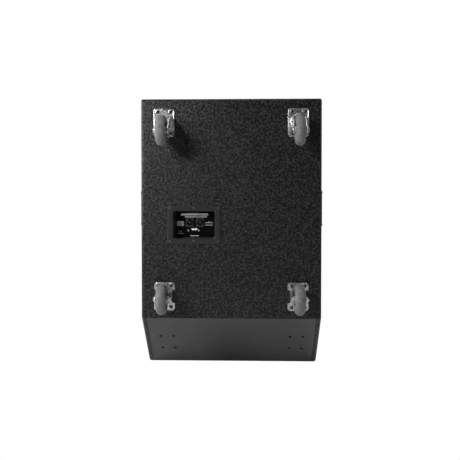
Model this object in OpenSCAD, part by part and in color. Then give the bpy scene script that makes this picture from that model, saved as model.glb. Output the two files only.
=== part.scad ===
// Folded-horn PA bass cabinet on rear transport casters.
// The cabinet stands upright on its bottom panel. The front faces -Y, the casters face +Y and +Z is up.
// The origin is the point on the floor under the middle of the cabinet's width and depth.

/* [Cabinet] */
// Outside width
cab_w = 610; // [600:1:630]
// Outside height
cab_h = 929; // [920:1:950]
// Outside depth, without the casters
cab_d = 762; // [750:1:790]
// Rise and run of the 45 degree chamfer at the foot of the back
chamfer = 187; // [180:1:190]
// Thickness of the plywood panels
ply = 18; // [18:1:19]
// Radius of the rounded outside edges
edge_r = 9; // [6:1:12]

/* [Folded horn] */
// Lean of the driver baffle, its top towards the front
baffle_lean = 11.5; // [9:0.5:13]
// Height of the driver's centre above the floor
driver_z = 640; // [636:1:644]
// Gap over the splitter panel, where the horn turns down behind it
splitter_gap = 166; // [150:1:180]
// Clear height of the horn mouth in the front frame
mouth_h = 331; // [325:1:335]

/* [Driver] */
// Radius of the driver's mounting flange
flange_r = 230; // [228:1:231]
// Radius of the baffle cut-out
cutout_r = 211; // [209:1:212]
// Bolt circle radius of the driver
bolt_circle_r = 220.5; // [219:0.5:222]
// Radius of the voice coil
coil_r = 50.8; // [50:0.1:51.2]

/* [Casters] */
// Wheel diameter
wheel_d = 101.6; // [98:0.2:104]
// Wheel tread width
wheel_w = 32; // [30:1:33]
// Overall height, from the cabinet's back to the floor when it lies on its casters
caster_h = 130; // [128:1:134]
// Offset of the swivel casters' axle from the kingpin
swivel_lead = 33; // [30:1:36]
// Width of the mounting plate
plate_w = 70; // [68:1:74]
// Length of the mounting plate
plate_l = 95; // [92:1:98]
// Bolt spacing across the plate
bolt_x = 44.5; // [44:0.5:45]
// Bolt spacing along the plate
bolt_y = 73; // [70:0.5:73]
// Distance of the caster centres from the cabinet's sides
caster_inset = 79; // [76:1:84]
// Height of the swivel casters' kingpins
swivel_z = 848; // [840:1:850]
// Height of the rigid casters' centres
rigid_z = 262; // [258:1:270]
// Distance down the chamfer from its top edge to the middle of the spare bolt pattern
spare_s = 143; // [135:1:150]

/* [Input dish] */
// Distance of the dish's centre from the cabinet's middle, towards +X
dish_x = 125; // [110:1:140]
// Height of the dish's centre
dish_z = 505; // [495:1:515]
// Width of the dish's flange
dish_w = 180; // [176:1:186]
// Height of the dish's flange
dish_h = 128; // [124:1:132]
// Depth of the recess
dish_deep = 40; // [36:1:46]

/* [Handles] */
// Height of the handles' centres
handle_z = 560; // [550:1:570]
// Front handles' distance in front of the middle
handle_front = 200; // [190:1:210]
// Rear handles' distance behind the middle
handle_rear = 273; // [272:1:276]

/* [Hidden] */
$fn = 64;

// Cabinet outline, as seen from the side: Y across and Z up
back_y = cab_d / 2;
front_y = -cab_d / 2;
inner_w = cab_w - 2 * ply;
inner_back = back_y - ply;
ceiling_z = cab_h - ply;
mitre = ply * tan(22.5);
outline = [
    [front_y, 0], [back_y - chamfer, 0], [back_y, chamfer], [back_y, cab_h], [front_y, cab_h]
];

// Front frame, hatch and grille
batten = 24;
ledge = 12;
frame_front = front_y + 19;
frame_deep = 40;
frame_back = frame_front + frame_deep;
gasket_t = 2;
mouth_top = ply + batten + mouth_h;
crossbar_top = mouth_top + 36;
gap = 0.5;
sheet_t = 1.5;
grille_face = front_y + 4;
grille_w = inner_w - 3;
grille_h = ceiling_z - ply - 3;
grille_z = (ceiling_z + ply) / 2;
hatch_w = inner_w - 2 * batten;
hatch_bottom = crossbar_top - ledge;
hatch_top = ceiling_z - batten;

// Horn panels
shelf_front_z = crossbar_top - 9;
shelf_fall = 55;
splitter_back = 183;
baffle_y = 22;

// Casters
wheel_r = wheel_d / 2;
plate_t = 3;
plate_corner = 9;
axle_h = caster_h - wheel_r;
axle_r = 4;
leg_in = 20;
leg_t = 2.8;
head_r = 29;
caster_x = cab_w / 2 - caster_inset;
bolt_r = 3.9;
thread_r = 3.35;
nut_bore_r = 3.4;
barrel_r = 5;
nut_hole_r = 5.1;
barrel_l = 13;
nut_flange_t = 1.5;

// Input dish and handles
dish_open = [140, 93];
handle_flange = [176, 126];
handle_open = [144, 94];
handle_deep = 60;
socket_x = 17.7;
socket_y = 7;
wall = 3;

function shelf_top(y) =
    shelf_front_z - shelf_fall * (y - frame_back) / (splitter_back - frame_back);
// Point on the baffle's chamber face, s millimetres up the slope, moved d towards the throat
function on_baffle(s, d) = [
    baffle_y - s * sin(baffle_lean) + d * cos(baffle_lean),
    driver_z + s * cos(baffle_lean) + d * sin(baffle_lean)
];
// Slope distance at which the face at depth d reaches height z
function baffle_s(z, d) = (z - driver_z - d * sin(baffle_lean)) / cos(baffle_lean);

// ---------------------------------------------------------------- placing

// Local x, y and z become Y, Z and X
module in_side_view() { rotate([90, 0, 90]) children(); }
// Local x runs right and y up as seen from behind, and z points out of the back
module on_back() { translate([0, back_y, 0]) rotate([90, 0, 180]) children(); }
// The same on the chamfer, from its top edge
module on_chamfer() {
    translate([0, back_y, chamfer]) rotate([-45, 0, 0]) rotate([90, 0, 180]) children();
}
// Local z points out of the +X side, x runs back and y up
module on_side() { translate([cab_w / 2, 0, 0]) in_side_view() children(); }
// Local x and y as seen from the front, z points out of the front
module on_front() { rotate([90, 0, 0]) children(); }
// A caster's frame: z away from the back, y down
module at_caster(x, z) { translate([x, back_y, z]) rotate([-90, 0, 0]) children(); }
// Driver frame: origin on the baffle's chamber face, z towards the throat
module at_driver() {
    translate([0, baffle_y, driver_z]) rotate([baffle_lean - 90, 0, 0]) children();
}
module at_corners(dx, dy) {
    for (x = [-dx / 2, dx / 2], y = [-dy / 2, dy / 2]) translate([x, y, 0]) children();
}
module ring_of(n, r, start = 0) {
    for (i = [0 : n - 1]) rotate([0, 0, start + 360 * i / n]) translate([r, 0, 0]) children();
}

// ---------------------------------------------------------------- shapes

module rounded(w, h, r) {
    square([w - 2 * r, h], center = true);
    square([w, h - 2 * r], center = true);
    at_corners(w - 2 * r, h - 2 * r) circle(r);
}
module plate(w, h, r, t) { linear_extrude(t) rounded(w, h, r); }
module bore(r, from, to) { translate([0, 0, from]) cylinder(r = r, h = to - from); }
// A strap round two circles
module strap(a, ra, b, rb) {
    d = b - a;
    len = norm(d);
    lean = asin((ra - rb) / len);
    dir = atan2(d[1], d[0]);
    translate(a) circle(ra);
    translate(b) circle(rb);
    polygon([
        a + ra * [cos(dir + 90 - lean), sin(dir + 90 - lean)],
        b + rb * [cos(dir + 90 - lean), sin(dir + 90 - lean)],
        b + rb * [cos(dir - 90 + lean), sin(dir - 90 + lean)],
        a + ra * [cos(dir - 90 + lean), sin(dir - 90 + lean)]
    ]);
}
// Screw with a domed head, head on the surface at z = 0
module screw(head_rad, head_t, shank_r, length) {
    intersection() {
        cylinder(r = head_rad, h = head_t);
        translate([0, 0, head_t - 2.2 * head_rad]) sphere(2.2 * head_rad);
    }
    translate([0, 0, -length]) cylinder(r = shank_r, h = length + 0.5);
}

// ---------------------------------------------------------------- cabinet

module square_corner(at, sx, sy) {
    translate(at) difference() {
        translate([sx < 0 ? -edge_r : -1, sy < 0 ? -edge_r : -1]) square(edge_r + 1);
        translate([sx * edge_r, sy * edge_r]) circle(edge_r);
    }
}
module outline_2d() {
    difference() {
        polygon(outline);
        square_corner([front_y, 0], 1, 1);
        square_corner([front_y, cab_h], 1, -1);
        square_corner([back_y, cab_h], -1, -1);
    }
}
// Quarter-round along the outer edge of a side panel, from point a to point b
module edge_round(a, b) {
    d = b - a;
    translate([a[0], a[1], ply - edge_r]) rotate([0, 0, atan2(d[1], d[0])])
        difference() {
            translate([-30, -1, 0]) cube([norm(d) + 60, edge_r + 1, edge_r + 1]);
            translate([-40, edge_r, 0]) rotate([0, 90, 0]) cylinder(r = edge_r, h = norm(d) + 80);
        }
}
module side_panel() {
    color([0.09, 0.09, 0.09]) translate([cab_w / 2 - ply, 0, 0]) in_side_view() difference() {
        linear_extrude(ply) outline_2d();
        for (i = [0 : len(outline) - 1])
            edge_round(outline[i], outline[(i + 1) % len(outline)]);
        for (y = [-handle_front, handle_rear]) translate([y, handle_z, -1]) {
            plate(handle_open[0] + 2 * wall + 1, handle_open[1] + 2 * wall + 1, 13.5, ply + 2);
            at_corners(158, 108) cylinder(r = 1.9, h = ply + 2);
        }
    }
}
// A panel between the sides, cut from the cabinet's rounded outline
module cross_panel(points) {
    translate([-inner_w / 2, 0, 0]) in_side_view() linear_extrude(inner_w)
        intersection() {
            outline_2d();
            polygon(points);
        }
}
module top_panel() {
    color([0.09, 0.09, 0.09]) cross_panel([
        [front_y - 1, ceiling_z], [back_y + 1, ceiling_z], [back_y + 1, cab_h + 1],
        [front_y - 1, cab_h + 1]
    ]);
}
module bottom_panel() {
    color([0.09, 0.09, 0.09]) cross_panel([
        [front_y - 1, -1], [back_y - chamfer, -1], [back_y - chamfer, 0],
        [back_y - chamfer - mitre, ply], [front_y - 1, ply]
    ]);
}
module chamfer_panel() {
    color([0.12, 0.12, 0.12]) difference() {
        cross_panel([
            [back_y - chamfer, 0], [back_y, chamfer], [inner_back, chamfer + mitre],
            [back_y - chamfer - mitre, ply]
        ]);
        on_chamfer() for (side = [-1, 1])
            translate([side * caster_x, -spare_s, -ply - 1]) at_corners(bolt_x, bolt_y)
                cylinder(r = nut_hole_r, h = ply + 2);
    }
}
module back_panel() {
    color([0.09, 0.09, 0.09]) difference() {
        cross_panel([
            [back_y, chamfer], [back_y, ceiling_z], [inner_back, ceiling_z],
            [inner_back, chamfer + mitre]
        ]);
        on_back() {
            for (x = [-caster_x, caster_x], z = [swivel_z, rigid_z])
                translate([x, z, -ply - 1]) at_corners(bolt_x, bolt_y)
                    cylinder(r = nut_hole_r, h = ply + 2);
            translate([-dish_x, dish_z, -ply - 1]) {
                plate(dish_open[0] + 2 * wall + 1, dish_open[1] + 2 * wall + 1, 11.5, ply + 2);
                dish_screw_places() cylinder(r = 1.9, h = ply + 2);
            }
        }
    }
}
module front_frame() {
    color([0.10, 0.10, 0.10]) difference() {
        translate([-inner_w / 2, frame_front, ply]) cube([inner_w, frame_deep, ceiling_z - ply]);
        translate([-hatch_w / 2, frame_front - 1, ply + batten])
            cube([hatch_w, frame_deep + 2, mouth_h]);
        translate([-hatch_w / 2, frame_front - 1, hatch_bottom])
            cube([hatch_w, 21, hatch_top - hatch_bottom]);
        translate([-hatch_w / 2 + ledge, frame_front - 1, hatch_bottom + ledge])
            cube([hatch_w - 2 * ledge, frame_deep + 2, hatch_top - hatch_bottom - 2 * ledge]);
        grille_screw_places() bore(2.1, -frame_deep, 1);
        hatch_screw_places() bore(2.1, -frame_deep - 20, 1);
    }
}
module horn_shelf() {
    color([0.10, 0.10, 0.10]) cross_panel([
        [frame_back, shelf_front_z - ply], [splitter_back, shelf_top(splitter_back) - ply],
        [splitter_back, shelf_top(splitter_back)], [frame_back, shelf_front_z]
    ]);
}
module splitter_panel() {
    color([0.10, 0.10, 0.10]) difference() {
        cross_panel([
            [splitter_back - ply, shelf_top(splitter_back - ply)],
            [splitter_back, shelf_top(splitter_back)],
            [splitter_back, ceiling_z - splitter_gap],
            [splitter_back - ply, ceiling_z - splitter_gap]
        ]);
        wire_hole(splitter_back - ply / 2);
    }
}
module driver_baffle() {
    // Both faces run down to the shelf's sloping top
    k = shelf_fall / (splitter_back - frame_back);
    function foot_s(d) =
        (shelf_top(on_baffle(0, d)[0]) - on_baffle(0, d)[1])
        / (cos(baffle_lean) - k * sin(baffle_lean));
    color([0.10, 0.10, 0.10]) difference() {
        cross_panel([
            on_baffle(foot_s(0), 0), on_baffle(foot_s(ply), ply),
            on_baffle(baffle_s(ceiling_z, ply), ply), on_baffle(baffle_s(ceiling_z, 0), 0)
        ]);
        at_driver() {
            bore(cutout_r, -1, ply + 1);
            ring_of(8, bolt_circle_r, 22.5) bore(3.1, -1, ply + 1);
        }
        wire_hole(baffle_y + 30);
    }
}
module wire_hole(y) {
    translate([wire_x, y - 40, wire_z]) rotate([-90, 0, 0]) cylinder(r = 4.2, h = 80);
}

// ---------------------------------------------------------------- hatch and grille

module hatch_screw_places() {
    x = hatch_w / 2 - ledge / 2;
    low = hatch_bottom + ledge / 2;
    high = hatch_top - ledge / 2;
    on_front() translate([0, 0, -frame_front]) {
        for (sx = [-x, x], i = [0 : 3]) translate([sx, low + (high - low) * i / 3, 0]) children();
        for (sx = [-x / 3, x / 3], z = [low, high]) translate([sx, z, 0]) children();
    }
}
module grille_screw_places() {
    x = inner_w / 2 - batten / 2;
    low = ply + batten / 2;
    high = ceiling_z - batten / 2;
    on_front() translate([0, 0, -grille_face]) {
        for (sx = [-x, x], i = [0 : 3]) translate([sx, low + (high - low) * i / 3, 0]) children();
        for (z = [low, high]) translate([0, z, 0]) children();
    }
}
module access_hatch() {
    color([0.10, 0.10, 0.10]) difference() {
        translate([-hatch_w / 2 + gap, frame_front, hatch_bottom + gap])
            cube([hatch_w - 2 * gap, ply, hatch_top - hatch_bottom - 2 * gap]);
        hatch_screw_places() bore(2.4, -ply - 1, 1);
    }
}
module hatch_gasket() {
    color([0.04, 0.04, 0.04]) difference() {
        translate([-hatch_w / 2 + gap, frame_front + ply, hatch_bottom + gap])
            cube([hatch_w - 2 * gap, gasket_t, hatch_top - hatch_bottom - 2 * gap]);
        translate([-hatch_w / 2 + ledge, frame_front + ply - 1, hatch_bottom + ledge])
            cube([hatch_w - 2 * ledge, gasket_t + 2, hatch_top - hatch_bottom - 2 * ledge]);
        hatch_screw_places() bore(2.4, -ply - 10, 1);
    }
}
module hatch_screws() {
    color([0.05, 0.05, 0.05]) hatch_screw_places() screw(4.5, 2.6, 2, 34);
}
module grille() {
    color([0.05, 0.05, 0.05]) translate([0, grille_face, grille_z]) rotate([-90, 0, 0])
        difference() {
            plate(grille_w, grille_h, 5, frame_front - grille_face);
            translate([0, 0, sheet_t])
                plate(grille_w - 2 * sheet_t, grille_h - 2 * sheet_t, 3.5, 40);
            translate([0, grille_z, 0]) rotate([90, 0, 0]) translate([0, -grille_face, 0])
                grille_screw_places() bore(2.4, -10, 10);
        }
}
module grille_foam() {
    color([0.03, 0.03, 0.03]) translate([0, grille_face + sheet_t, grille_z]) rotate([-90, 0, 0])
        difference() {
            plate(grille_w - 2 * sheet_t - 1, grille_h - 2 * sheet_t - 1, 3,
                frame_front - grille_face - sheet_t - 3);
            translate([0, grille_z, 0]) rotate([90, 0, 0])
                translate([0, -grille_face - sheet_t, 0]) grille_screw_places() bore(2.4, -30, 10);
        }
}
module grille_screws() {
    color([0.05, 0.05, 0.05]) grille_screw_places() screw(5, 2.8, 2, 34);
}

// ---------------------------------------------------------------- handles

// One moulded cup with its grip bar, and its hand room open towards the side
module handle_cup() {
    color([0.06, 0.06, 0.06]) {
        difference() {
            union() {
                plate(handle_flange[0], handle_flange[1], 14, wall);
                translate([0, 0, -handle_deep])
                    plate(handle_open[0] + 2 * wall, handle_open[1] + 2 * wall, 13, handle_deep + 1);
            }
            translate([0, 0, wall - handle_deep])
                plate(handle_open[0], handle_open[1], 10, handle_deep + 1);
            at_corners(158, 108) bore(2.2, -1, wall + 1);
        }
        translate([-handle_open[0] / 2 - 1, 17, -13]) rotate([0, 90, 0])
            cylinder(r = 11, h = handle_open[0] + 2);
    }
}
module handle(y) { on_side() translate([y, handle_z, 0]) handle_cup(); }
module other_side() { mirror([1, 0, 0]) children(); }
module handle_screws() {
    module one_side() {
        on_side() for (y = [-handle_front, handle_rear])
            translate([y, handle_z, wall]) at_corners(158, 108) screw(4, 2.4, 1.8, 18);
    }
    color([0.05, 0.05, 0.05]) {
        one_side();
        other_side() one_side();
    }
}

// ---------------------------------------------------------------- casters

module bolt_holes() { at_corners(bolt_x, bolt_y) bore(4.3, -1, plate_t + 1); }
module swivel_plate() {
    color([0.75, 0.75, 0.77]) difference() {
        union() {
            plate(plate_w, plate_l, plate_corner, plate_t);
            cylinder(r = 26, h = 8);
        }
        bolt_holes();
        translate([0, 0, 9.5]) rotate_extrude() translate([20, 0]) circle(3);
        bore(6.05, -1, 9);
        bore(9, -1, 2.5);
    }
}
module kingpin() {
    color([0.6, 0.6, 0.62]) {
        cylinder(r = 8.9, h = 2.4);
        cylinder(r = 6, h = 19);
        translate([0, 0, 14.3]) cylinder(r = 10, h = 3);
        translate([0, 0, 17]) cylinder(r = 8, h = 2.5);
    }
}
module race_balls() { color([0.8, 0.8, 0.8]) ring_of(14, 20) translate([0, 0, 9.5]) sphere(2.8); }
module fork_leg(x) {
    translate([x, 0, 0]) rotate([90, 0, 90]) linear_extrude(leg_t) difference() {
        intersection() {
            strap([0, 24], 20, [swivel_lead, axle_h], 13);
            translate([-60, 11.2]) square(120);
        }
        translate([swivel_lead, axle_h]) circle(axle_r + 0.1);
    }
}
module swivel_fork() {
    color([0.75, 0.75, 0.77]) difference() {
        union() {
            translate([0, 0, 11]) cylinder(r = head_r, h = 3);
            difference() {
                translate([0, 0, 4.2]) cylinder(r = head_r, h = 7);
                translate([0, 0, 3]) cylinder(r = 26.6, h = 9);
            }
            fork_leg(leg_in);
            fork_leg(-leg_in - leg_t);
        }
        translate([0, 0, 9.5]) rotate_extrude() translate([20, 0]) circle(3);
        bore(6.1, 3, 20);
    }
}
module rigid_fork() {
    waist = leg_in + leg_t;
    color([0.75, 0.75, 0.77]) {
        linear_extrude(plate_t) difference() {
            rounded(plate_w, plate_l, plate_corner);
            at_corners(bolt_x, bolt_y) circle(4.3);
            for (s = [-1, 1]) polygon([
                [s * (plate_w / 2 + 1), -28], [s * (waist + 2), -20], [s * (waist + 2), 20],
                [s * (plate_w / 2 + 1), 28]
            ]);
        }
        for (x = [leg_in, -leg_in - leg_t])
            translate([x, 0, 0]) rotate([90, 0, 90]) linear_extrude(leg_t) difference() {
                union() {
                    strap([0, 22], 21, [0, axle_h], 13);
                    translate([-25, 0]) square([50, 12]);
                    polygon([[-25, 12], [25, 12], [20, 30], [-20, 30]]);
                }
                translate([0, axle_h]) circle(axle_r + 0.1);
            }
    }
}
module axle(y) {
    color([0.7, 0.7, 0.7]) translate([0, y, axle_h]) rotate([0, 90, 0]) {
        translate([0, 0, leg_in + leg_t]) cylinder(r = 7.5, h = 5.2, $fn = 6);
        translate([0, 0, -leg_in - leg_t - 7.6]) cylinder(r = axle_r, h = 2 * (leg_in + leg_t) + 8);
        difference() {
            translate([0, 0, -leg_in - leg_t - 6.3]) cylinder(r = 7.5, h = 6.3, $fn = 6);
            translate([0, 0, -leg_in - leg_t - 7]) cylinder(r = axle_r - 0.5, h = 8);
        }
    }
}
module wheel_frame(y) { translate([0, y, axle_h]) rotate([0, 90, 0]) children(); }
module wheel_core(y) {
    color([0.55, 0.55, 0.53]) wheel_frame(y) rotate_extrude() {
        translate([axle_r + 0.06, -19]) square([8, 38]);
        translate([11, -4.5]) square([21, 9]);
        translate([31, -13.5]) square([5, 27]);
    }
}
module wheel_tyre(y) {
    color([0.32, 0.32, 0.31]) wheel_frame(y) rotate_extrude() intersection() {
        translate([36, -wheel_w / 2]) square([wheel_r - 36, wheel_w]);
        translate([wheel_r - 18, 0]) circle(18);
    }
}
module caster_screws() {
    color([0.03, 0.03, 0.03]) on_back()
        for (x = [-caster_x, caster_x], z = [swivel_z, rigid_z])
            translate([x, z, plate_t]) at_corners(bolt_x, bolt_y) {
                screw(6.2, 3.6, bolt_r, plate_t + ply - barrel_l - 0.5);
                translate([0, 0, -plate_t - ply - 2]) cylinder(r = thread_r, h = 17);
            }
}
// A tee nut in a panel: z = 0 is the panel's outer face
module tee_nut() {
    difference() {
        union() {
            translate([0, 0, -ply - nut_flange_t]) cylinder(r = 10, h = nut_flange_t);
            translate([0, 0, -ply - nut_flange_t]) cylinder(r = barrel_r, h = barrel_l + nut_flange_t);
        }
        bore(nut_bore_r, -ply - nut_flange_t - 1, -ply + barrel_l + 1);
    }
}
module tee_nuts() {
    color([0.3, 0.3, 0.3]) {
        on_back() for (x = [-caster_x, caster_x], z = [swivel_z, rigid_z])
            translate([x, z, 0]) at_corners(bolt_x, bolt_y) tee_nut();
        on_chamfer() for (side = [-1, 1])
            translate([side * caster_x, -spare_s, 0]) at_corners(bolt_x, bolt_y) tee_nut();
    }
}

// ---------------------------------------------------------------- input dish

module dish_screw_places() {
    for (x = [-dish_w / 2 + 9, 0, dish_w / 2 - 9], y = [-dish_h / 2 + 8, dish_h / 2 - 8])
        translate([x, y, 0]) children();
}
module at_dish() { on_back() translate([-dish_x, dish_z, 0]) children(); }
module at_socket(side) { at_dish() translate([side * socket_x, socket_y, wall - dish_deep]) children(); }
module input_dish() {
    color([0.05, 0.05, 0.05]) at_dish() difference() {
        union() {
            plate(dish_w, dish_h, 8, wall);
            translate([0, 0, -dish_deep])
                plate(dish_open[0] + 2 * wall, dish_open[1] + 2 * wall, 11, dish_deep + 1);
        }
        translate([0, 0, wall - dish_deep]) plate(dish_open[0], dish_open[1], 8, dish_deep + 1);
        dish_screw_places() bore(2.2, -1, wall + 1);
        for (side = [-1, 1]) translate([side * socket_x, socket_y, -dish_deep - 1]) {
            cylinder(r = 12.2, h = wall + 2);
            at_corners(20, 24) cylinder(r = 1.4, h = wall + 2);
        }
    }
}
module socket() {
    color([0.07, 0.07, 0.07]) {
        difference() {
            union() {
                plate(26, 31, 3, 2.5);
                translate([0, 0, -24]) cylinder(r = 12, h = 28);
            }
            bore(10.4, -20, 5);
            at_corners(20, 24) bore(1.6, -1, 3);
        }
        bore(5, -21, -2);
    }
    color([0.8, 0.7, 0.4]) for (a = [0 : 90 : 270]) rotate([0, 0, a])
        translate([6, -2.4, -34]) cube([0.8, 4.8, 10.5]);
}
module input_screws() {
    color([0.05, 0.05, 0.05]) {
        at_dish() translate([0, 0, wall]) dish_screw_places() screw(4, 2.4, 1.8, 18);
        for (side = [-1, 1]) at_socket(side) translate([0, 0, 2.5])
            at_corners(20, 24) screw(2.4, 1.5, 1.3, 8);
    }
}

// ---------------------------------------------------------------- driver

module driver_basket() {
    color([0.08, 0.08, 0.08]) at_driver() {
        difference() {
            union() {
                translate([0, 0, -10]) cylinder(r = flange_r, h = 10);
                translate([0, 0, -30]) cylinder(r = 210, h = 21);
            }
            bore(204, -31, 1);
            bore(207, -3, 1);
            ring_of(8, bolt_circle_r, 22.5) bore(3.1, -11, 1);
        }
        // Spider ring and magnet seat
        difference() {
            bore(126, -112, -84);
            bore(116, -96, -83);
            bore(62, -113, -95);
        }
        // Terminal block
        translate([124, -12, -106]) cube([18, 24, 16]);
        // Legs between the flange ring and the magnet seat
        ring_of(8, 0, 22.5) rotate([90, 0, 0]) translate([0, 0, -11]) linear_extrude(22)
            polygon([[119, -110], [124, -110], [209, -28], [209, -20], [206, -20], [119, -97]]);
    }
}
module driver_front_plate() {
    color([0.2, 0.2, 0.2]) at_driver() difference() {
        bore(105, -124, -112);
        bore(coil_r + 2.4, -125, -111);
    }
}
module driver_magnet() {
    color([0.12, 0.12, 0.12]) at_driver() difference() {
        bore(110, -154, -124);
        bore(60, -155, -123);
    }
}
module driver_yoke() {
    color([0.2, 0.2, 0.2]) at_driver() difference() {
        union() {
            bore(105, -168, -154);
            bore(coil_r - 2.6, -155, -112);
        }
        bore(18, -169, -111);
    }
}
module driver_cone() {
    color([0.05, 0.05, 0.05]) at_driver() rotate_extrude() polygon([
        [coil_r + 0.8, -88], [coil_r + 3, -88], [188, -16], [194, -14], [194, -12.5], [187, -14],
        [coil_r + 0.8, -84.5]
    ]);
}
module driver_dust_cap() {
    color([0.05, 0.05, 0.05]) at_driver() intersection() {
        difference() {
            translate([0, 0, -131]) sphere(90);
            translate([0, 0, -131]) sphere(88.5);
        }
        bore(70, -74.8, 0);
    }
}
module driver_voice_coil() {
    color([0.7, 0.45, 0.25]) at_driver() difference() {
        bore(coil_r + 0.7, -136, -84.5);
        bore(coil_r - 0.8, -137, -83);
    }
}
// Pleated edge, stepping down from the basket to the cone
module driver_surround() {
    half_t = 0.7;
    middle = [
        [188, -13.05], [194, -11.75], [196, -8.4], [198, -10.6], [200, -5.6], [202, -7.8],
        [204, -2.3], [207, -2.3]
    ];
    upper = [for (p = middle) p + [0, half_t]];
    lower = [for (i = [len(middle) - 1 : -1 : 0]) middle[i] - [0, half_t]];
    color([0.07, 0.07, 0.07]) at_driver() rotate_extrude() polygon(concat(upper, lower));
}
module driver_spider() {
    pleats = 6;
    from = coil_r + 0.7;
    pitch = (116 - from) / (2 * pleats);
    top = [for (i = [0 : 2 * pleats]) [from + i * pitch, -91.5 - 0.25 * i + (i % 2 == 0 ? 0 : 2.4)]];
    under = [for (i = [2 * pleats : -1 : 0]) top[i] - [0, 0.9]];
    color([0.75, 0.6, 0.3]) at_driver() rotate_extrude() polygon(concat(top, under));
}
module driver_bolts() {
    color([0.1, 0.1, 0.1]) at_driver() ring_of(8, bolt_circle_r, 22.5) {
        translate([0, 0, -16]) cylinder(r = 5, h = 6);
        translate([0, 0, -11]) cylinder(r = 3, h = 11 + ply);
    }
}

// ---------------------------------------------------------------- wire

wire_x = 262;
wire_z = 500;
wire_r = 3.5;
wire_sides = 10;
wire_route = [
    [143, 320, 512], [143, 306, 512], [147, 290, 511], [158, 278, 507], [180, 270, 503], [215, 262, 501],
    [243, 250, 500], [257, 234, 500], [wire_x, 212, wire_z], [wire_x, 190, wire_z],
    [wire_x, 150, wire_z], [wire_x, 110, wire_z], [wire_x, 70, wire_z], [wire_x, 30, wire_z],
    [261, 5, 500], [255, -20, 501], [240, -45, 506], [218, -62, 518], [192, -74, 538],
    [174, -80, 566], [168, -80, 594], [160, -76, 614], [150, -74, 620], [142, -74, 620]
];
function wire_dir(i) =
    let (n = len(wire_route) - 1)
    wire_route[min(i + 1, n)] - wire_route[max(i - 1, 0)];
// Ring of points round the route's point i
function wire_ring(i) =
    let (along = wire_dir(i), side = cross(along, [0, 0, 1]), up = cross(side, along))
    [for (k = [0 : wire_sides - 1]) let (a = 360 * k / wire_sides)
        wire_route[i] + wire_r * (cos(a) * side / norm(side) + sin(a) * up / norm(up))];
module speaker_wire() {
    n = wire_sides;
    last = len(wire_route) - 1;
    walls = [for (i = [0 : last - 1], k = [0 : n - 1])
        [i * n + k, i * n + (k + 1) % n, (i + 1) * n + (k + 1) % n, (i + 1) * n + k]];
    start_face = [for (k = [n - 1 : -1 : 0]) k];
    end_face = [for (k = [0 : n - 1]) last * n + k];
    color([0.5, 0.1, 0.1]) polyhedron(
        points = [for (i = [0 : last]) each wire_ring(i)],
        faces = concat(walls, [start_face], [end_face])
    );
}

// ---------------------------------------------------------------- nodes

side_panel();  // left_side_panel
other_side() side_panel();  // right_side_panel
top_panel();
bottom_panel();
back_panel();
chamfer_panel();
driver_baffle();
horn_shelf();
splitter_panel();
front_frame();
access_hatch();
hatch_gasket();
hatch_screws();
grille();
grille_foam();
grille_screws();
handle(-handle_front);  // front_left_handle
handle(handle_rear);  // rear_left_handle
other_side() handle(-handle_front);  // front_right_handle
other_side() handle(handle_rear);  // rear_right_handle
handle_screws();
at_caster(caster_x, swivel_z) swivel_plate();  // swivel_left_plate
at_caster(caster_x, swivel_z) kingpin();  // swivel_left_kingpin
at_caster(caster_x, swivel_z) race_balls();  // swivel_left_balls
at_caster(caster_x, swivel_z) swivel_fork();  // swivel_left_fork
at_caster(caster_x, swivel_z) axle(swivel_lead);  // swivel_left_axle
at_caster(caster_x, swivel_z) wheel_core(swivel_lead);  // swivel_left_core
at_caster(caster_x, swivel_z) wheel_tyre(swivel_lead);  // swivel_left_tyre
at_caster(-caster_x, swivel_z) swivel_plate();  // swivel_right_plate
at_caster(-caster_x, swivel_z) kingpin();  // swivel_right_kingpin
at_caster(-caster_x, swivel_z) race_balls();  // swivel_right_balls
at_caster(-caster_x, swivel_z) swivel_fork();  // swivel_right_fork
at_caster(-caster_x, swivel_z) axle(swivel_lead);  // swivel_right_axle
at_caster(-caster_x, swivel_z) wheel_core(swivel_lead);  // swivel_right_core
at_caster(-caster_x, swivel_z) wheel_tyre(swivel_lead);  // swivel_right_tyre
at_caster(caster_x, rigid_z) rigid_fork();  // rigid_left_fork
at_caster(caster_x, rigid_z) axle(0);  // rigid_left_axle
at_caster(caster_x, rigid_z) wheel_core(0);  // rigid_left_core
at_caster(caster_x, rigid_z) wheel_tyre(0);  // rigid_left_tyre
at_caster(-caster_x, rigid_z) rigid_fork();  // rigid_right_fork
at_caster(-caster_x, rigid_z) axle(0);  // rigid_right_axle
at_caster(-caster_x, rigid_z) wheel_core(0);  // rigid_right_core
at_caster(-caster_x, rigid_z) wheel_tyre(0);  // rigid_right_tyre
caster_screws();
tee_nuts();
input_dish();
input_screws();
at_socket(-1) socket();  // input_socket
at_socket(1) socket();  // link_socket
driver_basket();
driver_magnet();
driver_front_plate();
driver_yoke();
driver_cone();
driver_dust_cap();
driver_surround();
driver_spider();
driver_voice_coil();
driver_bolts();
speaker_wire();
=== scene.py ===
"""Looks of a folded-horn bass cabinet on transport casters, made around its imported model."""
import math

import bmesh
import bpy
from mathutils import Matrix, Vector


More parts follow.
